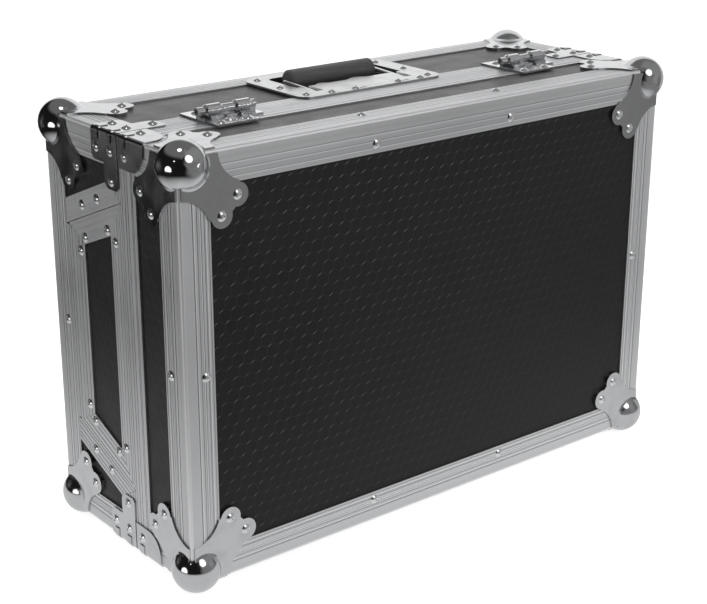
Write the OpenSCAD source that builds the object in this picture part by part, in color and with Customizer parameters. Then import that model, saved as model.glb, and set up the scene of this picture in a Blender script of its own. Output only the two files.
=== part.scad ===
// Flight case for a tabletop player, standing on its long edge.
// X runs along the case, Y from the lid's face to the back, Z up.

/* [Case] */
// Length of the case without its ball corners
case_length = 572; // [540:1:640]
// Height of the standing case without its ball corners
case_height = 388; // [370:1:430]
// Depth of the closed case without its ball corners
case_depth = 218; // [214:1:245]
// Depth of the lid, from its face to the joint
lid_depth = 91; // [88:1:94]
// Gap between the two rims
joint_gap = 0.6; // [0.4:0.1:1]
// Thickness of the laminated panels
panel_thick = 7; // [6.5:0.5:8]
// Clearance between a panel and the profile round it
seat_gap = 0.2; // [0.1:0.05:0.3]
// Gap between two mitred profiles
mitre_gap = 0.1; // [0.05:0.05:0.2]

/* [Edge angles] */
// Width of the outer legs
angle_leg = 30; // [28:1:32]
// Thickness of the outer legs
angle_wall = 1.5; // [1.2:0.1:1.8]
// Thickness of the inner legs and webs
inner_wall = 1.5; // [1.2:0.1:1.8]
// Reach of the inner legs past their web
inner_reach = 12; // [9:1:14]
// Rounding of the outer edge
edge_radius = 2.5; // [2:0.5:3]
// Width of the pressed grooves
groove_width = 0.8; // [0.5:0.1:1]
// Depth of the pressed grooves
groove_depth = 0.35; // [0.2:0.05:0.5]

/* [Closing profiles] */
// Width of the lid's rim profile
lid_band = 25; // [23:1:26]
// Width of the base's rim profile
base_band = 22; // [20:1:24]
// Height of the solid head at the rim
rim_head = 8; // [7:0.5:9]
// Height of the inner leg
rim_inner = 18; // [14:1:19]
// Thickness of the tongue
tongue_wall = 2.6; // [2:0.1:3]
// Reach of the tongue past the rim
tongue_reach = 2.3; // [1.5:0.1:2.6]
// Clearance on each side of the tongue
tongue_gap = 0.5; // [0.4:0.1:0.7]

/* [V-shaped door] */
// Width of the frame between the door and the edge angle
frame_lip = 3.8; // [3.4:0.1:5]
// Height of the door's far edge
door_far_height = 192.6; // [170:1:210]
// Slant of its long sides
door_slant = 22.5; // [18:0.5:25]
// Gap round the door
door_gap = 0.3; // [0.2:0.05:0.5]
// Width of the door's slanted profiles
door_slant_band = 23.2; // [21:0.2:26]
// Width of the door's rim profile
door_rim_band = 19; // [18:0.5:21]
// Width of the door's far profile
door_far_band = 26.7; // [24:0.1:28]
// Width of the profiles that frame the opening
frame_band = 21.2; // [19:0.2:23]

/* [Ball corners] */
// Radius of the ball
ball_radius = 22; // [21.6:0.1:22.6]
// How far the ball stands out of each face
ball_proud = 10.3; // [9.9:0.1:10.8]
// Thickness of the ball corner's plates
plate_thick = 1.5; // [1.2:0.1:2]
// Distance of the plates from the case's edges
plate_inset = 2.5; // [2.5:0.1:3]
// Short distance of a lobe's rivet from the edges
lobe_short = 40.5; // [38:0.5:41]
// Long distance of a lobe's rivet from the edges
lobe_long = 56.5; // [54:0.5:57]
// Radius of the lobes
lobe_radius = 10.5; // [9.5:0.5:11]
// Height of the pressed flare round the ball
ball_flare = 1.6; // [1.2:0.1:1.8]
// Width of the pressed flare round the ball
flare_width = 2.7; // [2.2:0.1:3.1]

/* [Corner braces] */
// Thickness of the braces
brace_thick = 1.2; // [1:0.1:1.5]
// Width along the edge
brace_width = 28; // [25:1:29]
// Length of the base's brace
brace_base_length = 42.5; // [38:0.5:46]
// Length of the lid's brace
brace_lid_length = 41; // [36:0.5:42]
// Reach of the base brace's arm from the edge
brace_arm = 50; // [46:1:52]
// Width of the base brace's arm
brace_arm_width = 23; // [22:0.5:25]
// Distance of the brace rivets from the edge
brace_rivet = 16.5; // [15:0.5:18]

/* [Rivets] */
// Diameter of a rivet's head
rivet_d = 9.4; // [8:0.1:10]
// Height of a rivet's head
rivet_h = 2.2; // [1.8:0.1:2.5]
// Distance of the angle rivets from the outer edge
rivet_inset = 21.5; // [20:0.5:23]
// Half the spacing of the rivets along the long angles
rivet_pitch = 81; // [60:1:110]

/* [Hinges] */
// Distance of the left hinge from the middle
hinge_left = 177; // [150:1:185]
// Distance of the right hinge from the middle
hinge_right = 183; // [150:1:188]
// Length of the barrel
barrel_length = 61; // [58:1:64]
// Height of the hinge axis above the case
hinge_height = 8; // [7.6:0.1:9]
// Radius of the base's knuckles
knuckle_radius = 5.2; // [5:0.1:5.4]
// Radius of the lid's tubes
tube_radius = 3.5; // [3.2:0.1:3.8]
// Radius of the pin
pin_radius = 2.1; // [1.8:0.1:2.4]
// Radial clearance of turning pins
pin_gap = 0.05; // [0.03:0.01:0.08]
// Clearance between neighbouring knuckles
knuckle_gap = 0.25; // [0.2:0.05:0.4]
// Thickness of the leaves
leaf_thick = 2; // [1.6:0.1:2.1]
// Depth of the base's leaf from the joint
leaf_base_depth = 27; // [24:1:30]
// Depth of the lid's leaf from the joint
leaf_lid_depth = 31; // [28:1:34]
// Width of the lid's leaf
leaf_lid_width = 44; // [42:1:50]
// Height of the stop flaps
flap_height = 4.6; // [3.8:0.1:5]
// Width of a stop flap
flap_width = 13.5; // [12:0.5:15]

/* [Handle] */
// Width of the handle's plate
handle_width = 172; // [166:1:180]
// Distance of the plate from the back face
handle_from_back = 18.5; // [16:0.5:20]
// Rounding of the plate's corners
handle_round = 14; // [8:1:15]
// Distance of the plate from the joint
handle_from_joint = 7.5; // [6:0.5:8]
// Thickness of the plate
handle_sheet = 2; // [1.5:0.1:2.2]
// Width of the dish's opening
dish_width = 128; // [124:1:132]
// Width of the plate behind the dish
dish_margin = 11.5; // [10:0.5:14]
// Distance of the dish's opening from the joint
dish_from_joint = 48; // [47:1:49]
// Depth of the dish below the plate
dish_deep = 19.5; // [17:0.5:21]
// Wall of the dish
dish_wall = 1.5; // [1.2:0.1:1.8]
// Radius of the bail's wire
wire_radius = 2.6; // [2.4:0.1:2.8]
// Distance of a bail's arm from the middle
bail_arm = 54; // [51:0.5:54.5]
// Distance of the pivot from the joint
bail_from_joint = 30; // [29:1:31]
// Depth of the pivot below the case's top
pivot_drop = 2; // [1.7:0.1:2.2]
// Rise of the grip above the pivot
grip_rise = 2.5; // [2:0.1:3]
// Radius of the wire's bends
bend_radius = 3; // [2.9:0.1:3.4]
// Radius of the grip
grip_radius = 11.25; // [10:0.25:11.5]
// Gap between the grip and the bail's arms
grip_gap = 0.9; // [0.5:0.1:2]
// Radius of the bail's journal in the spring
journal_radius = 1.7; // [1.5:0.1:1.8]
// Length of the pivot's housing
housing_length = 12; // [11:0.5:13]

/* [Latches] */
// Distance of a latch from the middle
latch_x = 175; // [160:1:185]
// Width of the latch's tray
tray_width = 70; // [66:1:76]
// Depth of the tray
tray_deep = 13; // [12.8:0.1:14]
// Length of the base's tray
tray_base = 39.5; // [38:0.5:42]
// Length of the lid's tray
tray_lid = 32; // [30:1:36]
// Wall of the tray
tray_wall = 1.5; // [1.2:0.1:1.8]
// Width of the riveted flange
tray_flange = 10.2; // [10:0.2:11]
// Distance of the rotor from the joint
rotor_y = 16; // [15:0.5:17]
// Radius of the rotor's hub
rotor_radius = 10; // [9:0.5:11]
// Inner radius of the claw's wall
claw_radius = 24.7; // [24:0.1:25.5]
// Thickness of the claw's wall
claw_wall = 2.5; // [2:0.1:3]
// Half the angle that the claw spans
claw_half = 24; // [20:1:26]
// Thickness of the keeper's wall
keeper_wall = 2.5; // [2:0.1:3]
// Gap between the claw and the keeper
keeper_gap = 0.7; // [0.5:0.1:1]
// Width of the folding wing
wing_width = 40; // [34:1:44]
// Length of the folding wing
wing_length = 19; // [16:1:20]
// Thickness of the folding wing
wing_thick = 2.2; // [1.8:0.1:2.6]

/* [Lining] */
// Length of the cable space behind the door
cable_space = 90; // [70:1:110]
// Thickness of the divider
divider_thick = 7; // [6:0.5:9]
// Width of the divider's cable notch
notch_width = 120; // [80:1:160]
// Depth of the divider's cable notch
notch_deep = 50; // [30:1:60]
// Flare of the notch on each side
notch_flare = 12; // [6:1:20]
// Thickness of the pad on the divider
divider_pad = 10; // [8:1:14]
// Thickness of the long side pads
side_pad = 22; // [20:1:30]
// Thickness of the end pad
end_pad_thick = 28; // [20:1:36]
// Thickness of the floor pad
floor_pad = 20; // [15:1:25]
// Thickness of the lid's pad
lid_pad_thick = 20; // [15:1:24]
// Height of the lid's strips
lid_strip_high = 34; // [20:1:36]
// Width of the lid's strips
lid_strip_width = 30; // [20:1:40]
// Distance of the pads from the rim
rim_clear = 3; // [2:1:6]

/* [Hidden] */
$fn = 48;
half_length = case_length / 2;
base_depth = case_depth - lid_depth;
door_depth = base_depth - angle_leg - seat_gap - frame_lip;
shell = angle_wall + panel_thick + inner_wall;
panel_out = angle_wall;
panel_start = shell + seat_gap;
inner_leg = shell + inner_reach;
rim_start = joint_gap / 2;
rim_panel = rim_start + rim_head + seat_gap;
tongue_at = (shell - tongue_wall) / 2;
ball_inset = ball_radius - ball_proud;
ball_core = 10;
angle_grooves = [12.4, 16.6, 20.4, 23.6, 28];
lid_grooves = [3, 8, 12, 18, 20];
base_grooves = [3, 8, 13, 18];
mid_z = case_height / 2;
hinge_at = [-hinge_left, hinge_right];
knuckles = [8, 39];
knuckle_length = 17.5;
leaf_shift = -7;
axis_y = lid_depth;
axis_z = case_height + hinge_height;
bail_z = case_height - pivot_drop;
bail_y = lid_depth + bail_from_joint;
dish_y = lid_depth + dish_from_joint;
handle_depth = base_depth - handle_from_joint - handle_from_back;
dish_length = handle_from_joint + handle_depth - dish_margin - dish_from_joint;
grip_shift = 0.6 * (dish_length / 2 - grip_radius);
grip_reach = dish_from_joint + dish_length / 2 + grip_shift - bail_from_joint;
bail_tilt = atan(grip_rise / grip_reach);
bail_length = grip_reach / cos(bail_tilt);
grip_length = 2 * (bail_arm - wire_radius - grip_gap);
slot_half = wire_radius + 1.6;
slot_floor = wire_radius + 2.8;
slot_y = bail_y - wire_radius - 2.4;
housing_at = bail_arm + bend_radius + 0.1;
housing_wall = 1.8;
housing_radius = handle_sheet + pivot_drop - 0.1;
spring_room = housing_radius - 1;
spring_gap = 0.3;
handle_y = lid_depth + handle_from_joint;
tray_half = tray_width / 2;
tray_inner = tray_deep - tray_wall;
hub_low = 2.3;
arm_thick = 2.2;
claw_top = 9.6;
wing_pivot = 7;
wing_pin = 1;
wing_barrel = 1.9;
inner_x = half_length - shell;
floor_y = case_depth - shell;
inner_z = case_height - shell;
pad_gap = 0.2;
divider_x = -inner_x + cable_space;
well_x = divider_x + divider_thick + divider_pad;
lining_y = lid_depth + rim_clear;
frame_far = case_depth - angle_leg - lid_depth - seat_gap;

function door_half(s, k) =
    door_far_height / 2 + (door_depth - s) * tan(door_slant) + k / cos(door_slant);
function along(p, q, f) = [p[0] + (q[0] - p[0]) * f, p[1] + (q[1] - p[1]) * f];

// Placement helpers.
module world() { translate([0, -case_depth / 2, ball_proud]) children(); }
module lr() { children(); mirror([1, 0, 0]) children(); }
module tb() { children(); translate([0, 0, case_height]) mirror([0, 0, 1]) children(); }
module far_side() { translate([0, case_depth, 0]) mirror([0, 1, 0]) children(); }
module from_left() { translate([-half_length, 0, 0]) children(); }
module corners() { lr() tb() from_left() children(); }
module base_joint() { translate([0, lid_depth, 0]) children(); }
module lid_joint() { translate([0, lid_depth, 0]) mirror([0, 1, 0]) children(); }
module to_x() { rotate([90, 0, 90]) children(); }
module to_y() { mirror([0, 1, 0]) rotate([90, 0, 0]) children(); }
module swap_xz() { mirror([1, 0, -1]) children(); }
module out_x() { mirror([1, 0, 0]) rotate([90, 0, 90]) children(); }
module out_y() { rotate([90, 0, 0]) children(); }
module out_z() { mirror([0, 0, 1]) children(); }
module box(p, q) { translate(p) cube([q[0] - p[0], q[1] - p[1], q[2] - p[2]]); }

// Sections.
module corner_cut(r) {
    difference() {
        translate([-1, -1]) square(r + 1);
        translate([r, r]) circle(r);
    }
}

module leg_grooves(list) {
    for (g = list) translate([g - groove_width / 2, -1]) square([groove_width, 1 + groove_depth]);
}

module angle_section() {
    web = shell - inner_wall;
    difference() {
        union() {
            square([angle_leg, angle_wall]);
            square([angle_wall, angle_leg]);
            square(shell);
            translate([web, web]) square([inner_reach + inner_wall, inner_wall]);
            translate([web, web]) square([inner_wall, inner_reach + inner_wall]);
        }
        translate([angle_wall, angle_wall]) square(panel_thick);
        corner_cut(edge_radius);
        leg_grooves(angle_grooves);
        mirror([1, -1]) leg_grooves(angle_grooves);
    }
}

module rim_section(band, list) {
    difference() {
        union() {
            translate([0, rim_start]) square([angle_wall, band - rim_start]);
            translate([0, rim_start]) square([shell, rim_head]);
            translate([shell - inner_wall, rim_start]) square([inner_wall, rim_inner]);
        }
        mirror([1, -1]) leg_grooves(list);
    }
}

module lid_rim_section() {
    difference() {
        rim_section(lid_band, lid_grooves);
        translate([tongue_at - tongue_gap, -1])
            square([tongue_wall + 2 * tongue_gap, 1 + tongue_reach + joint_gap]);
    }
}

module base_rim_section() {
    rim_section(base_band, base_grooves);
    translate([tongue_at, -tongue_reach]) square([tongue_wall, tongue_reach + rim_start + 1]);
}

// Mitred bars along Z.
module mitre_plane(n) {
    g = mitre_gap / 2;
    polygon([[-1, -1 - g], [n, -1 - g], [n, n + g], [-1, g - 1]]);
}

module mitre_cut(n) {
    translate([0, -1, 0]) to_y() linear_extrude(n + 1) mitre_plane(n);
    translate([-1, 0, 0]) to_x() linear_extrude(n + 1) mitre_plane(n);
    translate([-1, -1, -1]) cube(ball_core + 1);
}

module angle_bar(len, both) {
    difference() {
        linear_extrude(len) angle_section();
        mitre_cut(angle_leg + 4);
        if (both) translate([0, 0, len]) mirror([0, 0, 1]) mitre_cut(angle_leg + 4);
    }
}

module rim_cut(n) {
    translate([0, -10, 0]) to_y() linear_extrude(n + 20) mitre_plane(n);
    translate([0, -10, 0]) to_y() linear_extrude(n + 20) corner_cut(edge_radius);
}

module rim_bar(len) {
    difference() {
        linear_extrude(len) children();
        rim_cut(40);
        translate([0, 0, len]) mirror([0, 0, 1]) rim_cut(40);
    }
}

// Pockets that the latches and the handle need in the shell and the lining.
module latch_pockets() {
    g = seat_gap;
    w = tray_half + tray_wall + g;
    for (x = [-latch_x, latch_x]) {
        translate([x, lid_depth, 0])
            box([-w, -tray_lid - tray_wall - g, -10], [w, tray_base + tray_wall + g, tray_deep + g]);
        translate([x, lid_depth + rotor_y, 0]) cylinder(h = tray_deep + 3, r = 8);
    }
}

module dish_plan(grow, deep) {
    w = dish_width / 2 + grow;
    linear_extrude(deep) difference() {
        translate([-w, dish_y - grow]) square([2 * w, dish_length + 2 * grow]);
        for (m = [0, 1]) mirror([m, 0])
            translate([-w, dish_y + dish_length + grow]) mirror([0, 1]) corner_cut(8 + grow);
    }
}

module slot_plan(grow, deep) {
    for (m = [0, 1]) mirror([m, 0, 0])
        box([bail_arm - slot_half - grow, slot_y - grow, 0],
            [bail_arm + slot_half + grow, dish_y + 1, deep]);
}

module housing_bars(r, a, b) {
    for (m = [0, 1]) mirror([m, 0, 0])
        translate([housing_at + a, bail_y, bail_z]) to_x() cylinder(h = b - a, r = r);
}

module handle_pocket() {
    g = seat_gap;
    d = dish_deep + dish_wall;
    translate([0, 0, case_height - d - g]) dish_plan(dish_wall + g, d + g + 1);
    translate([0, 0, bail_z - slot_floor - dish_wall - g]) slot_plan(dish_wall + g, 20);
    housing_bars(housing_radius + 0.4, -0.5, housing_length + 0.5);
}

// Rivets.
module rivet() {
    r = rivet_d / 2;
    big = (r * r + rivet_h * rivet_h) / (2 * rivet_h);
    difference() {
        translate([0, 0, rivet_h - big]) sphere(big);
        translate([-20, -20, -40]) cube([40, 40, 40]);
        translate([0, 0, rivet_h - 0.6]) cylinder(h = 1, r = 1.2);
    }
}

module corner_rivets() {
    for (p = [[lobe_short, lobe_long], [lobe_long, lobe_short]]) {
        translate([p[0], p[1], -plate_thick]) out_z() rivet();
        translate([p[0], -plate_thick, p[1]]) out_y() rivet();
        translate([-plate_thick, p[0], p[1]]) out_x() rivet();
    }
}

module edge_rivets() {
    for (x = [half_length - rivet_pitch, half_length + rivet_pitch]) {
        translate([x, rivet_inset, 0]) out_z() rivet();
        translate([x, 0, rivet_inset]) out_y() rivet();
    }
}

module upright_rivets() {
    translate([0, rivet_inset, mid_z]) out_x() rivet();
    translate([rivet_inset, 0, mid_z]) out_y() rivet();
}

module brace_rivets(list) {
    for (p = list) {
        translate([p[0], p[1], -brace_thick]) out_z() rivet();
        translate([-brace_thick, p[1], p[0]]) out_x() rivet();
    }
}

// Ball corner at the origin, with the case in the positive octant.
module plate_plan() {
    k = lobe_long + 11.5;
    difference() {
        polygon([[plate_inset, plate_inset], [45, plate_inset], [58.5, 29.5],
            [lobe_long + 5.5, lobe_short + 1.5], [52.5, 52.5],
            [lobe_short + 1.5, lobe_long + 5.5], [29.5, 58.5], [plate_inset, 45]]);
        translate([k, 0]) circle(30);
        translate([0, k]) circle(30);
    }
    translate([lobe_short, lobe_long]) circle(lobe_radius);
    translate([lobe_long, lobe_short]) circle(lobe_radius);
}

module corner_leg() {
    seat = lid_depth - lid_band - angle_leg - 2 * seat_gap;
    flare = ball_flare;
    rim = sqrt(ball_radius * ball_radius - pow(ball_inset + plate_thick + flare, 2));
    translate([0, 0, -plate_thick]) linear_extrude(plate_thick) plate_plan();
    linear_extrude(angle_wall) intersection() {
        plate_plan();
        translate([angle_leg + seat_gap, angle_leg + seat_gap]) square(seat);
    }
    intersection() {
        translate([ball_inset, ball_inset, -plate_thick - flare])
            cylinder(h = flare, r1 = rim - 0.5, r2 = rim + flare_width);
        translate([plate_inset, plate_inset, -10]) cube([40, 40, 20]);
    }
}

module ball_corner() {
    difference() {
        translate([ball_inset, ball_inset, ball_inset]) sphere(ball_radius);
        difference() {
            cube(60);
            translate([-1, -1, -1]) cube(ball_core + 1 - 0.1);
        }
    }
    corner_leg();
    to_x() corner_leg();
    to_y() corner_leg();
}

// Corner brace round the edge along Y, from the joint at the origin.
module bend_section(w, t) {
    difference() {
        translate([-t, -t]) square(w + t);
        translate([-t, -t]) corner_cut(edge_radius + t);
        difference() {
            square(w + 1);
            corner_cut(edge_radius);
        }
    }
}

module brace_face(length, far_round) {
    translate([brace_width, length, -10]) mirror([1, 0, 0]) mirror([0, 1, 0])
        linear_extrude(20) corner_cut(far_round);
}

module brace(length, far_round) {
    start = 0.8;
    difference() {
        translate([0, start, 0]) to_y() linear_extrude(length - start)
            bend_section(brace_width, brace_thick);
        brace_face(length, far_round);
        swap_xz() brace_face(length, far_round);
    }
}

module brace_bump(s) {
    translate([0, s - 3.5, 0]) to_y() linear_extrude(7) bend_section(9, brace_thick + 0.8);
}

module brace_arm_plan() {
    r = 8;
    difference() {
        translate([edge_radius, 0.8]) square([brace_arm - edge_radius, brace_arm_width - 0.8]);
        translate([brace_arm, 0.8]) mirror([1, 0]) corner_cut(r / 2);
        translate([brace_arm, brace_arm_width]) mirror([1, 0]) mirror([0, 1]) corner_cut(r);
    }
}

module base_brace() {
    brace(brace_base_length, 6);
    translate([0, 0, -brace_thick]) linear_extrude(brace_thick) brace_arm_plan();
    swap_xz() translate([0, 0, -brace_thick]) linear_extrude(brace_thick) brace_arm_plan();
    brace_bump(12.5);
    brace_bump(33.5);
}

module lid_brace() {
    brace(brace_lid_length, 20);
    brace_bump(10);
}

// Lid.
module lid_face_panel() {
    color("#15151a") world() box([-half_length + panel_start, panel_out, panel_start],
        [half_length - panel_start, panel_out + panel_thick, case_height - panel_start]);
}

module lid_slab() {
    box([-half_length + panel_start, panel_start, panel_out],
        [half_length - panel_start, lid_depth - rim_panel, panel_out + panel_thick]);
}

module lid_top_panel() {
    color("#15151a") world() translate([0, 0, case_height]) mirror([0, 0, 1]) lid_slab();
}

module lid_bottom_panel() {
    color("#15151a") world() difference() {
        lid_slab();
        latch_pockets();
    }
}

module lid_side() {
    box([-half_length + panel_out, panel_start, panel_start],
        [-half_length + panel_out + panel_thick, lid_depth - rim_panel, case_height - panel_start]);
}

module lid_left_panel() { color("#15151a") world() lid_side(); }
module lid_right_panel() { color("#15151a") world() mirror([1, 0, 0]) lid_side(); }

module lid_long_angles() {
    color("#b9bcc0") world() tb() from_left() to_x() angle_bar(case_length, true);
}

module lid_upright_angles() {
    color("#b9bcc0") world() lr() from_left() angle_bar(case_height, true);
}

module lid_depth_angles() {
    color("#b9bcc0") world() corners() to_y() angle_bar(lid_depth - lid_band - seat_gap, false);
}

module lid_closing_profile() {
    color("#c6c9cc") world() {
        lid_joint() lr() from_left() rim_bar(case_height) lid_rim_section();
        difference() {
            lid_joint() tb() from_left() swap_xz() rim_bar(case_length) lid_rim_section();
            latch_pockets();
        }
    }
}

module lid_ball_corners() { color("#d8dadd") world() corners() ball_corner(); }
module lid_corner_braces() {
    color("#cfd1d4") world() lid_joint() corners() lid_brace();
}

module lid_rivets() {
    color("#e0e0e0") world() {
        corners() corner_rivets();
        tb() from_left() edge_rivets();
        lr() from_left() upright_rivets();
        lid_joint() corners() brace_rivets([[brace_rivet, 11]]);
        for (x = hinge_at) for (d = [-14, 14])
            translate([x + leaf_shift + d, lid_depth - leaf_lid_depth + 6.5,
                case_height + leaf_thick]) rivet();
        latch_rivets(-1, tray_lid);
    }
}

module lid_pad() {
    color("#2b2b2e") world() box([-inner_x + pad_gap, shell + pad_gap, shell + pad_gap],
        [inner_x - pad_gap, shell + pad_gap + lid_pad_thick, inner_z - pad_gap]);
}

module lid_strips() {
    y = shell + pad_gap + lid_pad_thick;
    z = shell + side_pad + pad_gap;
    color("#2b2b2e") world() tb()
        box([well_x, y, z], [inner_x - end_pad_thick, y + lid_strip_high, z + lid_strip_width]);
}

// Base.
module back_panel() {
    color("#15151a") world() far_side()
        box([-half_length + panel_start, panel_out, panel_start],
            [half_length - panel_start, panel_out + panel_thick, case_height - panel_start]);
}

module base_slab() {
    box([-half_length + panel_start, lid_depth + rim_panel, panel_out],
        [half_length - panel_start, case_depth - panel_start, panel_out + panel_thick]);
}

module base_top_panel() {
    color("#15151a") world() difference() {
        translate([0, 0, case_height]) mirror([0, 0, 1]) base_slab();
        handle_pocket();
    }
}

module base_bottom_panel() {
    color("#15151a") world() difference() {
        base_slab();
        latch_pockets();
    }
}

module base_right_panel() {
    color("#15151a") world() mirror([1, 0, 0])
        box([-half_length + panel_out, lid_depth + rim_panel, panel_start],
            [-half_length + panel_out + panel_thick, case_depth - panel_start,
                case_height - panel_start]);
}

module side_plan(d0, d1) {
    translate([-half_length + d0, lid_depth, 0]) to_x() linear_extrude(d1 - d0) children();
}

module base_left_panels() {
    s0 = rim_panel;
    s1 = frame_far;
    s2 = base_depth - panel_start;
    k = door_gap + rim_head + seat_gap;
    color("#15151a") world() tb() side_plan(panel_out, panel_out + panel_thick)
        polygon([[s0, panel_start], [s2, panel_start], [s2, mid_z - door_half(s1, 0)],
            [s1 + seat_gap, mid_z - door_half(s1, 0)], [s1 + seat_gap, mid_z - door_half(s1, k)],
            [s0, mid_z - door_half(s0, k)]]);
}

module base_long_angles() {
    color("#b9bcc0") world() difference() {
        far_side() tb() from_left() to_x() angle_bar(case_length, true);
        handle_pocket();
    }
}

module base_upright_angles() {
    color("#b9bcc0") world() far_side() lr() from_left() angle_bar(case_height, true);
}

module base_depth_angles() {
    color("#b9bcc0") world() far_side() corners() to_y()
        angle_bar(base_depth - base_band - seat_gap, false);
}

module left_rim_cut() {
    n = door_half(0, door_gap);
    a = [0, door_half(0, door_gap)];
    b = [base_band, door_half(base_band, door_gap + frame_band)];
    c = along(a, b, -0.5);
    d = along(a, b, 2);
    side_plan(-5, 40) translate([0, mid_z]) difference() {
        translate([-11, -n - 60]) square([60, 2 * n + 120]);
        polygon([c, d, [60, 400], [-60, 400]]);
        mirror([0, 1]) polygon([c, d, [60, 400], [-60, 400]]);
    }
}

module base_closing_profile() {
    color("#c6c9cc") world() {
        difference() {
            base_joint() from_left() rim_bar(case_height) base_rim_section();
            left_rim_cut();
        }
        base_joint() mirror([1, 0, 0]) from_left() rim_bar(case_height) base_rim_section();
        difference() {
            base_joint() tb() from_left() swap_xz() rim_bar(case_length) base_rim_section();
            latch_pockets();
            handle_pocket();
        }
    }
}

// Four-sided bar on the left face, from its edge line (a, b) to its inner line (c, d).
module bar_strip(a, b, c, d, from, to) {
    p = along(a, c, from);
    q = along(b, d, from);
    r = along(a, c, to);
    s = along(b, d, to);
    polygon([along(p, q, -0.2), along(q, p, -0.2), along(s, r, -0.2), along(r, s, -0.2)]);
}

module edge_bar(a, b, c, d, head, inner, list) {
    e = mitre_gap / 150;
    p = along(a, b, e);
    q = along(b, a, e);
    r = along(c, d, e);
    s = along(d, c, e);
    intersection() {
        difference() {
            union() {
                side_plan(0, angle_wall) bar_strip(a, b, c, d, 0, 1);
                side_plan(0, shell) bar_strip(a, b, c, d, 0, head);
                side_plan(shell - inner_wall, shell) bar_strip(a, b, c, d, 0, inner);
            }
            for (g = list) side_plan(-1, groove_depth) bar_strip(a, b, c, d, g, g + 0.035);
        }
        side_plan(-2, shell + 2)
            polygon([along(r, p, 1.4), along(s, q, 1.4), along(q, s, 1.4), along(p, r, 1.4)]);
    }
}

function sp(s, k) = [s, mid_z + door_half(s, k)];

module frame_slant() {
    edge_bar(sp(rim_start, door_gap), sp(frame_far, door_gap),
        sp(base_band, door_gap + frame_band), sp(frame_far, door_gap + frame_band),
        rim_head / frame_band, 0.8, [0.14, 0.38, 0.62, 0.8]);
}

module door_opening_profiles() {
    lip = door_depth + door_gap;
    top = door_half(frame_far + seat_gap, 0) - seat_gap;
    color("#c6c9cc") world() {
        frame_slant();
        translate([0, 0, case_height]) mirror([0, 0, 1]) frame_slant();
        translate([-half_length, lid_depth, mid_z - top]) linear_extrude(2 * top)
            polygon([[0, lip], [0, frame_far], [panel_out, frame_far],
                [panel_out, base_depth - panel_start],
                [shell - inner_wall, base_depth - panel_start],
                [shell - inner_wall, base_depth - inner_leg - seat_gap],
                [shell, base_depth - inner_leg - seat_gap], [shell, lip]]);
    }
}

module base_ball_corners() { color("#d8dadd") world() far_side() corners() ball_corner(); }
module base_corner_braces() {
    color("#cfd1d4") world() base_joint() corners() base_brace();
}

module base_rivets() {
    color("#e0e0e0") world() {
        far_side() corners() corner_rivets();
        far_side() from_left() edge_rivets();
        translate([0, 0, case_height]) mirror([0, 0, 1]) far_side() from_left()
            for (x = [half_length - rivet_pitch, half_length + rivet_pitch])
                translate([x, 0, rivet_inset]) out_y() rivet();
        far_side() lr() from_left() upright_rivets();
        base_joint() corners()
            brace_rivets([[brace_rivet, 12], [brace_rivet, 35], [42.5, 12]]);
        for (x = hinge_at) for (d = [-19, 19])
            translate([x + d, lid_depth + leaf_base_depth - 9, case_height + leaf_thick]) rivet();
        for (s = [0.44, 0.73] * door_depth) for (m = [-1, 1])
            translate([-half_length, lid_depth + s, mid_z + m * door_half(s, frame_band / 2)])
                out_x() rivet();
        latch_rivets(1, tray_base);
    }
}

// Door.
module door_profiles() {
    g = door_gap;
    o1 = sp(rim_start, -g);
    o2 = sp(door_depth - g, -g);
    i1 = sp(rim_start + door_rim_band, -g - door_slant_band);
    i2 = sp(door_depth - door_far_band, -g - door_slant_band);
    n1 = [o1[0], case_height - o1[1]];
    n2 = [o2[0], case_height - o2[1]];
    j1 = [i1[0], case_height - i1[1]];
    j2 = [i2[0], case_height - i2[1]];
    color("#c6c9cc") world() {
        edge_bar(o1, o2, i1, i2, rim_head / door_slant_band, 0.75, [0.14, 0.36, 0.6, 0.82]);
        edge_bar(n1, n2, j1, j2, rim_head / door_slant_band, 0.75, [0.14, 0.36, 0.6, 0.82]);
        edge_bar(o2, n2, i2, j2, rim_head / (door_far_band - g), 0.7, [0.14, 0.36, 0.6, 0.82]);
        edge_bar(o1, n1, i1, j1, rim_head / door_rim_band, 0.8, [0.14, 0.4, 0.64, 0.84]);
        translate([-half_length + tongue_at, lid_depth - tongue_reach, n1[1] + 3])
            cube([tongue_wall, tongue_reach + rim_start + 1, o1[1] - n1[1] - 6]);
    }
}

module door_panel() {
    s1 = rim_start + rim_head + seat_gap;
    s2 = door_depth - door_gap - rim_head - seat_gap;
    k = -door_gap - rim_head - seat_gap;
    color("#15151a") world() side_plan(panel_out, panel_out + panel_thick)
        polygon([sp(s1, k), sp(s2, k), [s2, case_height - sp(s2, k)[1]],
            [s1, case_height - sp(s1, k)[1]]]);
}

module door_rivets() {
    side = -door_gap - 0.75 * door_slant_band;
    far = door_depth - 0.71 * door_far_band;
    near = 0.63 * door_rim_band;
    color("#e0e0e0") world() for (m = [-1, 1]) {
        for (s = [0.27, 0.7] * door_depth) translate([-half_length, lid_depth + s,
            mid_z + m * door_half(s, side)]) out_x() rivet();
        translate([-half_length, lid_depth + far, mid_z + m * 0.715 * door_half(far, 0)])
            out_x() rivet();
        translate([-half_length, lid_depth + near, mid_z + m * 0.747 * door_half(near, 0)])
            out_x() rivet();
    }
}

// Hinges.
module knuckle(from, length) {
    e = 1.6;
    translate([from, 0, hinge_height]) to_x() {
        cylinder(h = e, r1 = knuckle_radius - 1.2, r2 = knuckle_radius);
        translate([0, 0, e]) cylinder(h = length - 2 * e, r = knuckle_radius);
        translate([0, 0, length - e]) cylinder(h = e, r1 = knuckle_radius, r2 = knuckle_radius - 1.2);
    }
    box([from + e, 0, 0], [from + length - e, knuckle_radius, hinge_height]);
}

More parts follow.
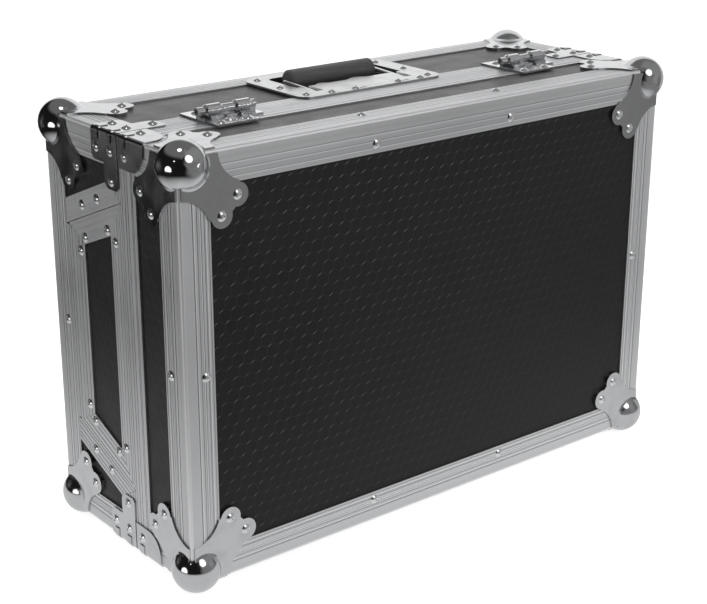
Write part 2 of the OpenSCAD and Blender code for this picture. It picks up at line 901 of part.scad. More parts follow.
module lid_tube(from, to) {
    translate([from, 0, hinge_height]) to_x() cylinder(h = to - from, r = tube_radius);
    box([from, -leaf_thick, 0], [to, 0, hinge_height]);
}

module pin_bore() {
    translate([-1, 0, hinge_height]) to_x() cylinder(h = barrel_length + 2, r = pin_radius + pin_gap);
}

module at_hinges() {
    for (x = hinge_at) translate([x - barrel_length / 2, axis_y, case_height]) children();
}

module hinge_base_leaves() {
    g = knuckle_gap / 2;
    color("#c2c5c8") world() at_hinges() difference() {
        union() {
            box([0, 1, 0], [barrel_length, leaf_base_depth, leaf_thick]);
            for (k = knuckles) knuckle(k + g, knuckle_length - 2 * g);
        }
        pin_bore();
    }
}

module hinge_lid_leaves() {
    g = knuckle_gap / 2;
    mid = barrel_length / 2 + leaf_shift;
    a = knuckles[0];
    b = knuckles[0] + knuckle_length;
    c = knuckles[1];
    d = knuckles[1] + knuckle_length;
    color("#c2c5c8") world() at_hinges() difference() {
        union() {
            box([0, -14, 0], [barrel_length, -1, leaf_thick]);
            box([mid - leaf_lid_width / 2, -leaf_lid_depth, 0],
                [mid + leaf_lid_width / 2, -13, leaf_thick]);
            lid_tube(0, a - g);
            lid_tube(b + g, c - g);
            lid_tube(d + g, barrel_length);
            for (x = [a, d - flap_width - 4]) box([x, -12, 0], [x + flap_width, -6.2, flap_height]);
            box([b, -9, 0], [c, -1, flap_height - 1.2]);
            translate([mid, 3 - leaf_lid_depth / 2 - 6, leaf_thick]) cylinder(h = 1, r1 = 6, r2 = 5);
        }
        pin_bore();
    }
}

module hinge_pins() {
    color("#8d9094") world() at_hinges() translate([1.5, 0, hinge_height])
        to_x() cylinder(h = barrel_length - 3, r = pin_radius);
}

// Handle.
module handle_plan() {
    w = handle_width / 2;
    difference() {
        translate([-w, handle_y]) square([handle_width, handle_depth]);
        for (m = [0, 1]) mirror([m, 0]) {
            translate([-w, handle_y]) corner_cut(handle_round);
            translate([-w, handle_y + handle_depth]) mirror([0, 1]) corner_cut(handle_round);
        }
        for (x = [-13.5, 38]) translate([x - 5, handle_y + 3.5]) square([10, 2]);
    }
}

module handle_dish() {
    d = dish_deep + dish_wall;
    color("#cdd0d3") world() difference() {
        union() {
            difference() {
                union() {
                    translate([0, 0, case_height]) linear_extrude(handle_sheet) handle_plan();
                    translate([0, 0, case_height - d]) dish_plan(dish_wall, d);
                    translate([0, 0, bail_z - slot_floor - dish_wall])
                        slot_plan(dish_wall, slot_floor + dish_wall + pivot_drop);
                }
                translate([0, 0, case_height - dish_deep]) dish_plan(0, 40);
                translate([0, 0, bail_z - slot_floor]) slot_plan(0, 40);
            }
            intersection() {
                translate([0, 0, case_height]) linear_extrude(handle_sheet) {
                    translate([-34, dish_y - 4]) circle(8);
                    translate([9, dish_y - 10]) circle(15);
                }
                box([-48, dish_y - 1, case_height - 5], [48, dish_y + 10, case_height + 5]);
            }
            housing_bars(housing_radius, 0, housing_length);
        }
        housing_bars(wire_radius + pin_gap, -1, housing_wall + 1);
        housing_bars(spring_room, housing_wall, housing_length - housing_wall);
        housing_bars(journal_radius + pin_gap, housing_wall, housing_length - 0.6);
    }
}

module handle_rivets() {
    top = case_height + handle_sheet;
    color("#e0e0e0") world() {
        for (p = [[-0.86, 0.12], [0.86, 0.12], [-0.88, 0.5], [0.88, 0.5], [-0.85, 0.9], [0.85, 0.9],
                [-0.56, 0.07], [-0.24, 0.06], [0.37, 0.065], [0.69, 0.06]])
            translate([p[0] * handle_width / 2, handle_y + p[1] * handle_depth, top])
                scale(0.9) rivet();
    }
}

module handle_springs() {
    color("#7c7f83") world() difference() {
        housing_bars(spring_room - spring_gap, housing_wall + spring_gap,
            housing_length - housing_wall - spring_gap);
        housing_bars(journal_radius + spring_gap / 2, -5, housing_length + 5);
    }
}

module at_pivot() { translate([0, bail_y, bail_z]) rotate([bail_tilt, 0, 0]) children(); }

module bail_half() {
    r = bend_radius;
    far = housing_at + housing_length - 0.9;
    neck = housing_at + housing_wall;
    translate([bail_arm, r, 0]) to_y() cylinder(h = bail_length - 2 * r, r = wire_radius);
    translate([0, bail_length, 0]) to_x() cylinder(h = bail_arm - r, r = wire_radius);
    translate([bail_arm - r, bail_length - r, 0]) rotate_extrude(angle = 90)
        translate([r, 0]) circle(wire_radius);
    translate([bail_arm + r, r, 0]) rotate([0, 0, 180]) rotate_extrude(angle = 90)
        translate([r, 0]) circle(wire_radius);
    translate([bail_arm + r, 0, 0]) to_x() cylinder(h = neck - bail_arm - r, r = wire_radius);
    translate([bail_arm + r, 0, 0]) to_x() cylinder(h = far - bail_arm - r, r = journal_radius);
}

module handle_bail() {
    color("#a9acb0") world() at_pivot() {
        bail_half();
        mirror([1, 0, 0]) bail_half();
    }
}

module handle_grip() {
    color("#17171a") world() at_pivot() translate([-grip_length / 2, bail_length, 0]) to_x()
        difference() {
            cylinder(h = grip_length, r = grip_radius);
            translate([0, 0, -1]) cylinder(h = grip_length + 2, r = wire_radius + pin_gap);
            for (m = [0, 1]) translate([0, 0, m * grip_length]) mirror([0, 0, m]) difference() {
                translate([0, 0, -1]) cylinder(h = 3, r = grip_radius + 1);
                translate([0, 0, -1]) cylinder(h = 3, r1 = grip_radius - 3, r2 = grip_radius);
            }
        }
}

// Latches.
module latch_rivets(side, reach) {
    for (x = [-latch_x, latch_x]) for (m = [-1, 1]) for (d = [7.5, reach - 2])
        translate([x + m * (tray_half + tray_wall + tray_flange / 2 - 0.2),
            lid_depth + side * d, -tray_wall]) out_z() rivet();
}

module tray(reach) {
    w = tray_half + tray_wall;
    f = w + tray_flange;
    difference() {
        union() {
            box([-f, 0.8, -tray_wall], [f, reach + 6, 0]);
            box([-w, 0.8, -tray_wall], [w, reach + tray_wall, tray_deep]);
        }
        box([-tray_half, -1, -5], [tray_half, reach, tray_inner]);
    }
}

module ring_wall(r, t, half, low, high) {
    rotate([0, 0, -90 - half]) rotate_extrude(angle = 2 * half)
        translate([r, low]) square([t, high - low]);
}

module latch_base_dishes() {
    color("#c2c5c8") world() for (x = [-latch_x, latch_x]) translate([x, lid_depth, 0])
        difference() {
            tray(tray_base);
            translate([0, rotor_y, 5]) cylinder(h = 20, r = 3 + pin_gap);
        }
}

module latch_lid_dishes() {
    color("#c2c5c8") world() for (x = [-latch_x, latch_x]) translate([x, lid_depth, 0]) {
        mirror([0, 1, 0]) tray(tray_lid);
        translate([0, rotor_y, 0]) ring_wall(claw_radius - keeper_gap - keeper_wall, keeper_wall,
            18, hub_low + arm_thick + 0.7, tray_inner + 0.5);
    }
}

module rotor() {
    ear = wing_barrel + 0.5;
    difference() {
        union() {
            translate([0, 0, hub_low]) cylinder(h = 5.7, r = rotor_radius);
            translate([0, 0, 7]) cylinder(h = tray_inner - 7.2, r = 5);
            cylinder_up(3, 8, tray_deep + 1.2);
            cylinder_up(5.5, tray_deep + 0.2, tray_deep + 1.5);
            rotate([0, 0, 90]) {
                ring_wall(5, claw_radius - 4.5, claw_half, hub_low, hub_low + arm_thick);
                ring_wall(claw_radius, claw_wall, claw_half, hub_low, claw_top);
            }
            for (m = [0, 1]) mirror([m, 0, 0]) {
                translate([6, wing_pivot, 0]) to_x() cylinder(h = 2.2, r = ear);
                box([6, wing_pivot - ear, 0], [8.2, wing_pivot + ear, hub_low + 1]);
            }
        }
        translate([-20, wing_pivot, 0]) to_x() cylinder(h = 40, r = wing_pin + pin_gap);
    }
}

module cylinder_up(r, low, high) { translate([0, 0, low]) cylinder(h = high - low, r = r); }

module wing() {
    t = wing_thick / 2;
    box([-wing_width / 2, wing_pivot - wing_length, -t], [wing_width / 2, wing_pivot - 3.2, t]);
    box([-5.6, wing_pivot - 4, -t], [5.6, wing_pivot, t]);
    translate([-5.6, wing_pivot, 0]) to_x() cylinder(h = 11.2, r = wing_barrel);
    translate([-8.2, wing_pivot, 0]) to_x() cylinder(h = 16.4, r = wing_pin);
}

module at_rotor(x) { translate([x, lid_depth + rotor_y, 0]) children(); }
module latch_rotor_left() { color("#d0d3d6") world() at_rotor(-latch_x) rotor(); }
module latch_rotor_right() { color("#d0d3d6") world() at_rotor(latch_x) rotor(); }
module latch_wing_left() { color("#c2c5c8") world() at_rotor(-latch_x) wing(); }
module latch_wing_right() { color("#c2c5c8") world() at_rotor(latch_x) wing(); }

// Lining.
module floor_pad_foam() {
    color("#2b2b2e") world() box([well_x, floor_y - floor_pad, shell + side_pad + pad_gap],
        [inner_x - end_pad_thick - pad_gap, floor_y - pad_gap, inner_z - side_pad - pad_gap]);
}

module side_pads() {
    color("#2b2b2e") world() difference() {
        tb() box([well_x, lining_y, shell + pad_gap],
            [inner_x - pad_gap, floor_y - pad_gap, shell + side_pad]);
        latch_pockets();
        handle_pocket();
    }
}

module end_pad() {
    color("#2b2b2e") world() box([inner_x - end_pad_thick, lining_y, shell + side_pad + pad_gap],
        [inner_x - pad_gap, floor_y - pad_gap, inner_z - side_pad - pad_gap]);
}

module notched(x0, x1) {
    difference() {
        box([x0, lining_y, shell + pad_gap], [x1, floor_y - pad_gap, inner_z - pad_gap]);
        translate([x0 - 1, 0, mid_z]) to_x() linear_extrude(x1 - x0 + 2)
            polygon([[lining_y - 1, -notch_width / 2 - notch_flare],
                [lining_y - 1, notch_width / 2 + notch_flare],
                [lining_y + notch_deep, notch_width / 2], [lining_y + notch_deep, -notch_width / 2]]);
        latch_pockets();
    }
}

module divider_panel() {
    color("#15151a") world() notched(divider_x, divider_x + divider_thick);
}

module divider_foam() {
    color("#2b2b2e") world()
        notched(divider_x + divider_thick + pad_gap, divider_x + divider_thick + divider_pad - pad_gap);
}

lid_face_panel();
lid_top_panel();
lid_bottom_panel();
lid_left_panel();
lid_right_panel();
lid_long_angles();
lid_upright_angles();
lid_depth_angles();
lid_closing_profile();
lid_ball_corners();
lid_corner_braces();
lid_rivets();
hinge_lid_leaves();
latch_lid_dishes();
lid_pad();
lid_strips();
back_panel();
base_top_panel();
base_bottom_panel();
base_right_panel();
base_left_panels();
base_long_angles();
base_upright_angles();
base_depth_angles();
base_closing_profile();
door_opening_profiles();
base_ball_corners();
base_corner_braces();
base_rivets();
hinge_base_leaves();
hinge_pins();
handle_dish();
handle_rivets();
handle_springs();
handle_bail();
handle_grip();
latch_base_dishes();
latch_rotor_left();
latch_rotor_right();
latch_wing_left();
latch_wing_right();
door_panel();
door_profiles();
door_rivets();
floor_pad_foam();
side_pads();
end_pad();
divider_panel();
divider_foam();
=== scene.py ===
"""Flight case for a tabletop player: finishes, foam lining, stage and camera."""

import math

import bmesh
import bpy
from bpy.props import FloatProperty, FloatVectorProperty, PointerProperty
from mathutils import Euler, Matrix, Vector, noise


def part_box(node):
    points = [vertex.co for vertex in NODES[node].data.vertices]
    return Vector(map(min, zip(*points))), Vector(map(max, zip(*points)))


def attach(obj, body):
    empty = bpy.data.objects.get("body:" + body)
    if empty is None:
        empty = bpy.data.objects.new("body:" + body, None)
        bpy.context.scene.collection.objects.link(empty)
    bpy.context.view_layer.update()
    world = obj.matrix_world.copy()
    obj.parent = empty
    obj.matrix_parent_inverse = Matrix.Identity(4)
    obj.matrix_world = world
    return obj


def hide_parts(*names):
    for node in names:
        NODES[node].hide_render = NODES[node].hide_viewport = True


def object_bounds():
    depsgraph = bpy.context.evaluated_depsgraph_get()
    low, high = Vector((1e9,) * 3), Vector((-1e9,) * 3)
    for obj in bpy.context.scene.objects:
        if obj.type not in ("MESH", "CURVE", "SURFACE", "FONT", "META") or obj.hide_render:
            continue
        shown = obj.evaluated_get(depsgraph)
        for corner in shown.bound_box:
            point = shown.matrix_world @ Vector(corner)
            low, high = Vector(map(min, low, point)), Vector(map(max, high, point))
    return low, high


bl_info = {
    "name": "Player flight case",
    "version": (1, 0, 0),
    "blender": (4, 5, 0),
    "location": "View3D > Sidebar > Flight Case",
    "description": "Finishes, foam lining and studio for a hinged player flight case",
    "category": "Object",
}

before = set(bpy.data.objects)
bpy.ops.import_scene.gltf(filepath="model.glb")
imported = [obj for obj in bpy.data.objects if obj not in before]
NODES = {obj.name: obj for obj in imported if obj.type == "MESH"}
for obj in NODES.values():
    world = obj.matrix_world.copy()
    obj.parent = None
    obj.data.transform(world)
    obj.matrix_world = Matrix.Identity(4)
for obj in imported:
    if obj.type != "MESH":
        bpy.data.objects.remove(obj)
CAD_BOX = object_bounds()
X, Y, Z = 0, 1, 2
# Height of the middle of the case, and depth of the joint between the lid and the base.
CENTRE_Z = sum(corner.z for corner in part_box("lid_left_panel")) / 2
JOINT_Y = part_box("lid_closing_profile")[1].y


# Sizes and colours that the sidebar offers


def colour(label, text, value):
    """A colour that the sidebar offers."""
    return FloatVectorProperty(
        name=label, description=text, default=value, min=0.0, max=1.0, size=3, subtype="COLOR"
    )


def length(label, text, value):
    """A length in metres that the sidebar offers."""
    return FloatProperty(
        name=label, description=text, default=value, min=0.0, precision=5, subtype="DISTANCE"
    )


def share(label, text, value):
    """A share from 0 to 1 that the sidebar offers."""
    return FloatProperty(
        name=label, description=text, default=value, min=0.0, max=1.0, subtype="FACTOR"
    )


class FlightCasePanels(bpy.types.PropertyGroup):
    """Laminated plywood of the walls."""

    laminate: colour("Laminate", "Black laminate skin", (0.006, 0.006, 0.0063))
    # Grey of the ridges and grain, and also the colour of the painted glints on the ridges and
    # the painted sheen on the top and underside.
    ridge: colour("Ridge", "Rubbed top of the pressed pattern", (0.10, 0.10, 0.103))
    plywood: colour("Plywood", "Raw inner face of the walls", (0.52, 0.36, 0.20))
    cell: length("Cell width", "Flat-to-flat width of one honeycomb cell", 0.0122)
    emboss: length("Emboss height", "Height of the pressed ridges", 0.00006)
    rough: share("Laminate roughness", "Roughness of the laminate skin", 0.36)


class FlightCaseMetals(bpy.types.PropertyGroup):
    """Aluminium profiles and steel fittings."""

    aluminium: colour("Aluminium", "Mill finish of the profiles", (0.60, 0.605, 0.615))
    # Colour of the painted highlights along the rounded edges and on the bright sides of the
    # grooves.
    painted_glint: colour("Rubbed aluminium", "Edges and groove sides that are rubbed bright",
                   (0.93, 0.93, 0.94))
    chrome: colour("Chromed steel", "Ball corners and braces", (0.56, 0.565, 0.575))
    nickel: colour("Nickel", "Hinges and the handle's wire", (0.74, 0.745, 0.755))
    rivet: colour("Rivets", "Heads of the rivets", (0.76, 0.765, 0.775))
    plated: colour("Plated steel", "Handle plate and latches", (0.56, 0.565, 0.57))
    pin: colour("Pins", "Hinge pins and the handle's springs", (0.50, 0.505, 0.515))
    brushed: share("Profile roughness", "Roughness of the drawn aluminium", 0.40)
    polish: share("Chrome roughness", "Roughness of the chromed steel", 0.07)


class FlightCaseSoft(bpy.types.PropertyGroup):
    """Rubber grip and foam lining."""

    rubber: colour("Rubber", "Handle grip", (0.037, 0.037, 0.038))
    foam: colour("Foam", "Lining foam", (0.028, 0.028, 0.031))
    pore: length("Pore", "Width of the foam's cells", 0.0011)


class FlightCaseStudio(bpy.types.PropertyGroup):
    """Floor, lamps and the view."""

    floor: colour("Floor", "Pale floor", (0.80, 0.80, 0.80))
    lift: FloatProperty(
        name="Background lift", description="Brightness added to the floor as a background",
        default=0.62, min=0.0, max=2.0,
    )
    key: FloatProperty(
        name="Key lamp", description="Power of the large lamp overhead", default=34.0,
        min=0.0, unit="POWER",
    )
    front: FloatProperty(
        name="Softboxes", description="Power that every softbox takes its share of",
        default=6.0, min=0.0, unit="POWER",
    )
    ambient: share("Ambient", "Strength of the even studio light", 0.42)


# Building a finish from shader nodes


class Finish:
    """One material, whose methods add shader nodes and link them."""

    def __init__(self, name):
        self.material = bpy.data.materials.new(name)
        self.material.use_nodes = True
        self.tree = self.material.node_tree
        self.tree.nodes.clear()
        self.out = self.tree.nodes.new("ShaderNodeOutputMaterial")
        self.body = self.tree.nodes.new("ShaderNodeBsdfPrincipled")
        self.tree.links.new(self.body.outputs[0], self.out.inputs[0])

    def add(self, kind, **settings):
        made = self.tree.nodes.new(kind)
        for key, value in settings.items():
            setattr(made, key, value)
        return made

    def put(self, socket, value):
        if isinstance(value, bpy.types.NodeSocket):
            self.tree.links.new(value, socket)
        else:
            socket.default_value = value

    def math(self, operation, *values):
        made = self.add("ShaderNodeMath", operation=operation)
        for socket, value in zip(made.inputs, values):
            self.put(socket, value)
        return made.outputs[0]

    def apart(self, one, other):
        """How far two values are apart."""
        return self.math("ABSOLUTE", self.math("SUBTRACT", one, other))

    def vector(self, operation, *values):
        made = self.add("ShaderNodeVectorMath", operation=operation)
        for socket, value in zip(made.inputs, values):
            self.put(socket, value)
        return made.outputs["Value" if operation in ("LENGTH", "DOT_PRODUCT") else "Vector"]

    def stretch(self, vector, factors):
        return self.vector("MULTIPLY", vector, factors)

    def place(self):
        return self.add("ShaderNodeTexCoord").outputs["Object"]

    def split(self, vector):
        made = self.add("ShaderNodeSeparateXYZ")
        self.put(made.inputs[0], vector)
        return made.outputs

    def join(self, x, y, z):
        made = self.add("ShaderNodeCombineXYZ")
        for socket, value in zip(made.inputs, (x, y, z)):
            self.put(socket, value)
        return made.outputs[0]

    def ramp(self, value, low, high, start=0.0, end=1.0, smooth=True):
        """start up to low, end from high on, and a smooth or straight run between them."""
        made = self.add(
            "ShaderNodeMapRange", interpolation_type="SMOOTHSTEP" if smooth else "LINEAR"
        )
        for socket, number in zip(made.inputs, (value, low, high, start, end)):
            self.put(socket, number)
        return made.outputs[0]

    def noise(self, vector, scale, detail=2.0, rough=0.5):
        made = self.add("ShaderNodeTexNoise")
        self.put(made.inputs["Vector"], vector)
        made.inputs["Scale"].default_value = scale
        made.inputs["Detail"].default_value = detail
        made.inputs["Roughness"].default_value = rough
        return made.outputs[0]

    def cells(self, vector, scale, feature="F1"):
        made = self.add("ShaderNodeTexVoronoi", feature=feature)
        self.put(made.inputs["Vector"], vector)
        made.inputs["Scale"].default_value = scale
        return made.outputs[0]

    def mix(self, factor, a, b):
        made = self.add("ShaderNodeMix", data_type="RGBA")
        self.put(made.inputs[0], factor)
        for socket, value in ((made.inputs[6], a), (made.inputs[7], b)):
            if not isinstance(value, bpy.types.NodeSocket):
                value = (*tuple(value)[:3], 1.0)
            self.put(socket, value)
        return made.outputs[2]

    def choose(self, factor, a, b):
        made = self.add("ShaderNodeMix", data_type="VECTOR")
        self.put(made.inputs[0], factor)
        self.put(made.inputs[4], a)
        self.put(made.inputs[5], b)
        return made.outputs[1]

    def bump(self, height, distance):
        made = self.add("ShaderNodeBump")
        made.inputs["Strength"].default_value = 1.0
        made.inputs["Distance"].default_value = distance
        self.put(made.inputs["Height"], height)
        self.tree.links.new(made.outputs[0], self.body.inputs["Normal"])

    def glow(self, strength):
        """White light of that strength, for a floor or a wall of the studio."""
        made = self.add("ShaderNodeEmission")
        made.inputs["Color"].default_value = (1, 1, 1, 1)
        self.put(made.inputs["Strength"], strength)
        return made.outputs[0]

    def surface(self, **values):
        for key, value in values.items():
            if not isinstance(value, bpy.types.NodeSocket) and hasattr(value, "__len__"):
                value = (*tuple(value)[:3], 1.0)
            self.put(self.body.inputs[key.replace("_", " ")], value)
        return self.material


def tinted(tone, factor):
    """A colour made darker or lighter."""
    return tuple(n * factor for n in tone)


def dress(material, *names):
    for name in names:
        node = NODES[name]
        node.data.materials.clear()
        node.data.materials.append(material)


# Laminated walls


# Each wall with the axes across and up its face, the axis and side of its raw inner face, and
# the walls that are finished alike.
WALLS = (
    ("lid_face_panel", X, Z, Y, 1, ()),
    ("back_panel", X, Z, Y, -1, ()),
    ("lid_left_panel", Y, Z, X, 1, ("base_left_panels", "door_panel")),
    ("lid_right_panel", Y, Z, X, -1, ("base_right_panel",)),
    ("lid_top_panel", X, Y, Z, -1, ("base_top_panel",)),
    ("lid_bottom_panel", X, Y, Z, 1, ("base_bottom_panel",)),
)
# Share of a wall's thickness, from its outer face, beyond which the raw plywood begins.
SKIN_DEPTH = 0.8
# Where a ridge of the honeycomb begins and ends to fade, and the same for the width and length of
# the painted glint stroke on it, in cell widths.
RIDGE_WIDTH = (0.012, 0.085)
GLINT_WIDTH = (0.455, 0.5)
GLINT_LENGTH = (0.12, 0.22)
# The painted glints are brightest towards the upper left, as the light falls.
GLINT_WAY = (-1.3, 0.0, 1.3)
# Thickness of one ply of the divider.
PLY = 0.0014


def honeycomb(mat, u, v, cell):
    """Distance from the nearest cell wall, 0 at the wall and 0.5 in the middle of a cell, and
    the strength of a painted glint along the middle of the cell walls that slant one way."""
    point = mat.join(mat.math("DIVIDE", u, cell), mat.math("DIVIDE", v, cell), 0.0)
    lean, rise = 0.5, math.sqrt(0.75)
    half = (lean, rise, 1.0)
    back = tinted(half, -1)

    def nearest(shifted):
        x, y, _ = mat.split(mat.vector("WRAP", shifted, half, back))
        wide, tall = mat.math("ABSOLUTE", x), mat.math("ABSOLUTE", y)
        slant = mat.math("ADD", mat.math("MULTIPLY", wide, lean),
                         mat.math("MULTIPLY", tall, rise))
        off = mat.apart(mat.math("MULTIPLY", y, rise), mat.math("MULTIPLY", x, lean))
        run = mat.math("ADD", mat.math("MULTIPLY", x, rise), mat.math("MULTIPLY", y, lean))
        # Painted glint: a bright stroke along the middle of each cell wall that slants one way.
        painted_glint = mat.math("MULTIPLY", mat.ramp(off, *GLINT_WIDTH),
                          mat.ramp(mat.math("ABSOLUTE", run), *GLINT_LENGTH, 1.0, 0.0))
        return mat.math("MAXIMUM", wide, slant), painted_glint

    one, glint_one = nearest(point)
    two, glint_two = nearest(mat.vector("SUBTRACT", point, half))
    wall = mat.math("SUBTRACT", 0.5, mat.math("MINIMUM", one, two))
    first = mat.math("LESS_THAN", one, two)
    return wall, mat.ramp(first, 0.0, 1.0, glint_two, glint_one, smooth=False)


def laminate(name, across, up, inner, edge, side):
    """Laminated plywood. across and up are the axes of its face. The raw plywood shows past
    edge on the axis inner, to that side."""
    look = bpy.context.scene.case_panels
    mat = Finish(name)
    place = mat.place()
    axes = mat.split(place)
    wall, painted_glint = honeycomb(mat, axes[across], axes[up], look.cell)
    ridge = mat.ramp(wall, *RIDGE_WIDTH, 1.0, 0.0)
    grain = mat.noise(place, 1500.0, 3.0, 0.6)
    patch = mat.noise(place, 38.0, 3.0)
    # Painted glints: strongest towards the upper left, as the light falls, and broken up by
    # noise.
    glint_fall_off = mat.ramp(mat.vector("DOT_PRODUCT", place, GLINT_WAY), -0.1, 0.6, 0.12, 1.0)
    fade = mat.math("MULTIPLY", mat.ramp(mat.noise(place, 60.0, 3.0), 0.35, 0.65, 0.4, 1.0),
                    glint_fall_off)
    skin = mat.mix(mat.math("MULTIPLY", ridge, 0.03), look.laminate, look.ridge)
    if across == Y:  # the painted glints are fainter on the ends
        fade = mat.math("MULTIPLY", fade, 0.3)
    # Paint the glint strokes on the slanted ridges.
    skin = mat.mix(mat.math("MULTIPLY", painted_glint, fade), skin, look.ridge)
    if up == Y:  # the top and the underside are painted lighter grey in speckles, a painted sheen
        scuff = mat.ramp(mat.noise(place, 900.0, 2.0), 0.3, 0.7, 0.1, 0.5)
        skin = mat.mix(scuff, skin, look.ridge)
    skin = mat.mix(mat.ramp(grain, 0.6, 0.85, 0.0, 0.12), skin, look.ridge)
    rough = mat.ramp(patch, 0.3, 0.7, look.rough - 0.04, look.rough + 0.05)
    height = mat.math("ADD", ridge, mat.math("MULTIPLY", grain, 0.16))

    raw = mat.math("GREATER_THAN" if side > 0 else "LESS_THAN", axes[inner], edge)
    scale = [140.0, 140.0, 140.0]
    scale[across] = 7.0
    fibre = mat.noise(mat.stretch(place, tuple(scale)), 1.0, 5.0, 0.65)
    fine = mat.noise(mat.stretch(place, tinted(scale, 9)), 1.0, 3.0)
    dark = tinted(look.plywood, 0.62)
    wood = mat.mix(mat.ramp(fibre, 0.32, 0.68), look.plywood, dark)
    wood = mat.mix(mat.ramp(fine, 0.5, 0.8, 0.0, 0.4), wood, dark)
    skin = mat.mix(raw, skin, wood)
    rough = mat.ramp(raw, 0.0, 1.0, rough, 0.7, smooth=False)
    height = mat.ramp(raw, 0.0, 1.0, height, fine, smooth=False)
    mat.bump(height, look.emboss)
    return mat.surface(Base_Color=skin, Roughness=rough, Specular_IOR_Level=0.2)


def divider_plywood():
    """Plywood of the divider, black on its faces with its plies showing on the edges."""
    look = bpy.context.scene.case_panels
    low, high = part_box("divider_panel")
    mat = Finish("divider_plywood")
    place = mat.place()
    x = mat.split(place)[0]
    ply = mat.math("FRACT", mat.math("DIVIDE", mat.math("SUBTRACT", x, low.x), PLY))
    fibre = mat.noise(mat.stretch(place, (900.0, 60.0, 60.0)), 1.0, 4.0)
    dark = tinted(look.plywood, 0.5)
    edge = mat.mix(mat.ramp(ply, 0.42, 0.58), look.plywood, dark)
    edge = mat.mix(mat.ramp(fibre, 0.4, 0.7, 0.0, 0.5), edge, dark)
    reach = (high.x - low.x) / 2 - 0.0004
    face = mat.math("GREATER_THAN", mat.apart(x, (low.x + high.x) / 2), reach)
    speck = mat.ramp(mat.noise(place, 700.0), 0.5, 0.8, 0.0, 0.5)
    skin = mat.mix(speck, look.laminate, look.ridge)
    mat.bump(mat.noise(place, 1100.0, 3.0), 0.00008)
    return mat.surface(Base_Color=mat.mix(face, edge, skin),
                       Roughness=mat.ramp(face, 0.0, 1.0, 0.72, 0.45))


class FLIGHT_CASE_OT_panels(bpy.types.Operator):
    """Finish the walls with black laminate pressed with a honeycomb, on plywood"""

    bl_idname = "flight_case.panels"
    bl_label = "Laminate the walls"

    def execute(self, context):
        for name, across, up, inner, side, alike in WALLS:
            low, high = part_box(name)
            edge = low.lerp(high, SKIN_DEPTH if side > 0 else 1 - SKIN_DEPTH)[inner]
            dress(laminate("laminate_" + name, across, up, inner, edge, side), name, *alike)
        dress(divider_plywood(), "divider_panel")
        return {"FINISHED"}


# Metals and the handle's grip


# Distance of each groove of an edge angle from the edge of the case, where its painted shade on
# the dark side and painted highlight on the bright side begin and end to fade, how far the bright
# side lies from the dark one, and where the painted highlight along the round of the edge begins
# and ends to fade.
GROOVES = (0.0128, 0.0189, 0.0247)
DARK_SIDE = (0.0002, 0.0006)
BRIGHT_SIDE = (0.0002, 0.0007)
BRIGHT_OFF = 0.0009
EDGE_GLINT = (0.0014, 0.0034)
# Drawn metal: noise runs slowly along a profile and fast across it, in turns for each metre.
SLOW, FAST = 2.5, 2100.0
ALONG = {"x": (SLOW, FAST, FAST), "y": (FAST, SLOW, FAST), "z": (FAST, FAST, SLOW)}
# The door's frame: slant of its two sloping bars, half its height at the far side, and the
# widths of the sloping, rim and far bars.
DOOR_SLANT = math.radians(22.5)
DOOR_HALF_HEIGHT = 0.0963
SLOPING_BAR, RIM_BAR, FAR_BAR = 0.0235, 0.019, 0.0267


def painted_groove_light(mat, place, part):
    """Painted shade and painted highlight on the two sides of the fine grooves that run along an
    edge angle's legs, each at a fixed distance from the nearest edge of the case, and a painted
    highlight along the round of that edge."""
    x, y, z = mat.split(place)
    low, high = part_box(part + "_long_angles")
    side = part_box(part + "_upright_angles")[1].x
    from_x = mat.math("SUBTRACT", side, mat.math("ABSOLUTE", x))
    from_z = mat.math("SUBTRACT", (high.z - low.z) / 2, mat.apart(z, (high.z + low.z) / 2))
    if part == "lid":
        from_y = mat.math("SUBTRACT", y, low.y)
    else:
        from_y = mat.math("SUBTRACT", high.y, y)
    least, most = mat.math("MINIMUM", from_x, from_z), mat.math("MAXIMUM", from_x, from_z)
    edge = mat.math("MAXIMUM", least, mat.math("MINIMUM", most, from_y))
    dark = bright = 0.0
    for groove in GROOVES:
        dark = mat.math("MAXIMUM", dark,
                        mat.ramp(mat.apart(edge, groove), *DARK_SIDE, 1.0, 0.0))
        bright = mat.math("MAXIMUM", bright,
                          mat.ramp(mat.apart(edge, groove + BRIGHT_OFF), *BRIGHT_SIDE, 1.0, 0.0))
    return dark, bright, mat.ramp(edge, *EDGE_GLINT, 1.0, 0.0)


def rim_grain(mat, place):
    """Grain of the closing profiles, along their long bars and upright on their short ones."""
    x, _, z = mat.split(place)
    side = mat.math("SUBTRACT", CAD_BOX[1].x, mat.math("ABSOLUTE", x))
    top = mat.math("SUBTRACT", CENTRE_Z, mat.apart(z, CENTRE_Z))
    upright = mat.math("LESS_THAN", side, top)
    return mat.choose(upright, mat.stretch(place, ALONG["x"]), mat.stretch(place, ALONG["z"]))


